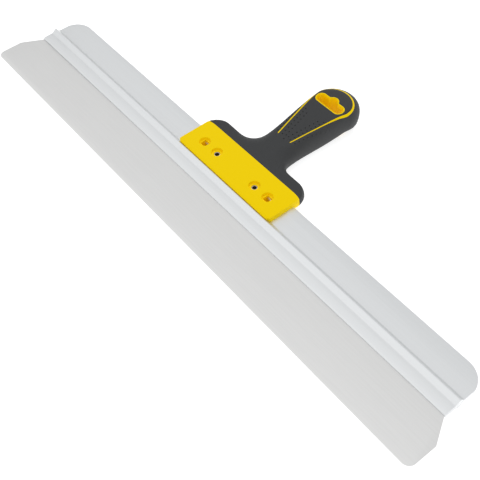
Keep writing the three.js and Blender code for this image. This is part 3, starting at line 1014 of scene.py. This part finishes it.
def yellow_painted_glow():
    """The same plastic painted brighter and more orange, with a faint orange glow: painted light in its
    hollows, on the jaws' upright front and ends and on the slot's walls, in place of light taken in beside
    them."""
    material, tree, shader = new_material("yellow_plastic_painted_glow", (0.85, 0.64, 0.001), 0, 0.45)
    grain = noise(tree, 1400, 2)
    vary_colour(tree, grain, shader.inputs["Base Color"], (0.845, 0.635, 0.001), (0.855, 0.645, 0.001))
    # Painted glow: a faint orange emission, on top of the brighter base colour, both painted light.
    shader.inputs["Emission Color"].default_value = (1, 0.2, 0, 1)
    shader.inputs["Emission Strength"].default_value = 0.06
    shader.inputs["Specular IOR Level"].default_value = 0.1
    return material


def grey_rubber():
    material, tree, shader = new_material("soft_touch_grey", (0.03, 0.031, 0.032), 0, 0.6)
    grain = noise(tree, 1800, 3)
    vary(tree, grain, shader.inputs["Roughness"], 0.55, 0.68)
    vary_colour(tree, grain, shader.inputs["Base Color"], (0.026, 0.027, 0.028), (0.036, 0.037, 0.038))
    add_bump(tree, grain, shader, 0.25, 0.04)
    shader.inputs["Specular IOR Level"].default_value = 0.35
    return material


def rivet_metal():
    material, tree, shader = new_material("plated_rivet_metal", (0.6, 0.59, 0.57), 1, 0.32)
    scuffs = noise(tree, 900, 3)
    vary(tree, scuffs, shader.inputs["Roughness"], 0.25, 0.4)
    add_bump(tree, scuffs, shader, 0.15, 0.02)
    return material


def painted_shade_rivet_bore():
    """The inside of a rivet, painted near black as painted shade for its deep bore, with a mottled tone."""
    material, tree, shader = new_material("rivet_bore_painted_shade", (0.03, 0.026, 0.022), 0, 0.7)
    bore_mottle = noise(tree, 1200, 2)
    vary_colour(tree, bore_mottle, shader.inputs["Base Color"], (0.02, 0.017, 0.014), (0.04, 0.034, 0.028))
    return material


def pale_floor():
    """A matt white surface that is lit from below, as a light table is."""
    material, tree, shader = new_material("pale_floor", (0.5, 0.5, 0.5), 0, 0.9)
    speckle = noise(tree, 40, 2)
    vary_colour(tree, speckle, shader.inputs["Base Color"], (0.49, 0.49, 0.49), (0.51, 0.51, 0.51))
    shader.inputs["Emission Color"].default_value = (1, 1, 1, 1)
    shader.inputs["Emission Strength"].default_value = 0.75
    shader.inputs["Specular IOR Level"].default_value = 0.1
    return material


# ------------------------------------------------------------------ floor, light and camera

def at(x, y, z):
    """A point of the tool's frame in the CAD frame, in metres."""
    return Vector((x, y, z)) * MM + TOOL_ORIGIN


def make_floor():
    """A floor under the lowest point of the tool."""
    mesh = bmesh.new()
    bmesh.ops.create_grid(mesh, size=6, matrix=Matrix.Translation((0, 0, cad_bounds[0][2])))
    data = bpy.data.meshes.new("studio_floor")
    mesh.to_mesh(data)
    mesh.free()
    data.materials.append(pale_floor())
    floor = bpy.data.objects.new("studio_floor", data)
    bpy.context.scene.collection.objects.link(floor)


def add_light(name, place, size, power):
    data = bpy.data.lights.new(name, "AREA")
    data.shape = "DISK"
    data.size = size
    data.energy = power
    light = bpy.data.objects.new(name, data)
    light.location = place
    light.rotation_euler = (at(0, 80, 0) - place).to_track_quat("-Z", "Y").to_euler()
    light.visible_glossy = False
    bpy.context.scene.collection.objects.link(light)


def make_lights():
    """A white studio that is a little brighter overhead and in front of the blade, and a soft lamp."""
    add_light("soft_key_light", at(-600, 1200, 1300), 1.2, 9)
    world = bpy.data.worlds.new("studio")
    world.use_nodes = True
    tree = world.node_tree
    direction = tree.nodes.new("ShaderNodeTexCoord")
    slope = tree.nodes.new("ShaderNodeVectorMath")
    slope.operation = "DOT_PRODUCT"
    slope.inputs[1].default_value = (0, -0.15, 0.1)
    level = tree.nodes.new("ShaderNodeMath")
    level.inputs[1].default_value = 0.85
    background = tree.nodes["Background"]
    background.inputs["Color"].default_value = (0.985, 0.993, 1, 1)
    tree.links.new(direction.outputs["Generated"], slope.inputs[0])
    tree.links.new(slope.outputs["Value"], level.inputs[0])
    tree.links.new(level.outputs["Value"], background.inputs["Strength"])
    bpy.context.scene.world = world


def make_camera():
    data = bpy.data.cameras.new("camera")
    data.lens = 64.08
    data.sensor_width = 36
    camera = bpy.data.objects.new("camera", data)
    camera.location = at(436.6, -215.7, 571.8)
    camera.rotation_euler = Euler([math.radians(a) for a in (38.139, 3.339, 51.575)])
    bpy.context.scene.collection.objects.link(camera)
    bpy.context.scene.camera = camera


# ------------------------------------------------------------------ assembly

def mount(piece, material, node):
    piece.data.materials.clear()
    piece.data.materials.append(material)
    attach(piece, "root")
    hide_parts(node)


def make_tool():
    mount(make_blade(), stainless(), "blade")
    mount(make_profile(), aluminium(), "blade_profile")
    jaws, line, sleeve = make_jaws(), make_line(), make_sleeve()
    yellow, hollow = yellow_plastic(), yellow_painted_glow()
    for piece in (jaws, line, sleeve):
        mount(piece, yellow, "handle_core")
    # The jaws' recesses, upright front and ends, and the slot's walls get the painted glow.
    reface(jaws, hollow, in_jaw_painted_glow)
    reface(sleeve, hollow, is_slot_wall)
    mount(make_overmould(), grey_rubber(), "grip_overmould")
    plated, bore = rivet_metal(), painted_shade_rivet_bore()
    for side, x in zip(("left", "right"), RIVETED):
        rivet = make_rivet(f"hollow_rivet_{side}", x)
        mount(rivet, plated, f"rivet_{side}")
        # The bore's faces get the near-black painted shade.
        reface(rivet, bore, in_bore(x))
        mount(make_washer(f"flat_washer_{side}", x), plated, f"washer_{side}")


make_tool()
make_floor()
make_lights()
make_camera()
bpy.context.scene.view_settings.view_transform = "Standard"

bpy.context.view_layer.update()
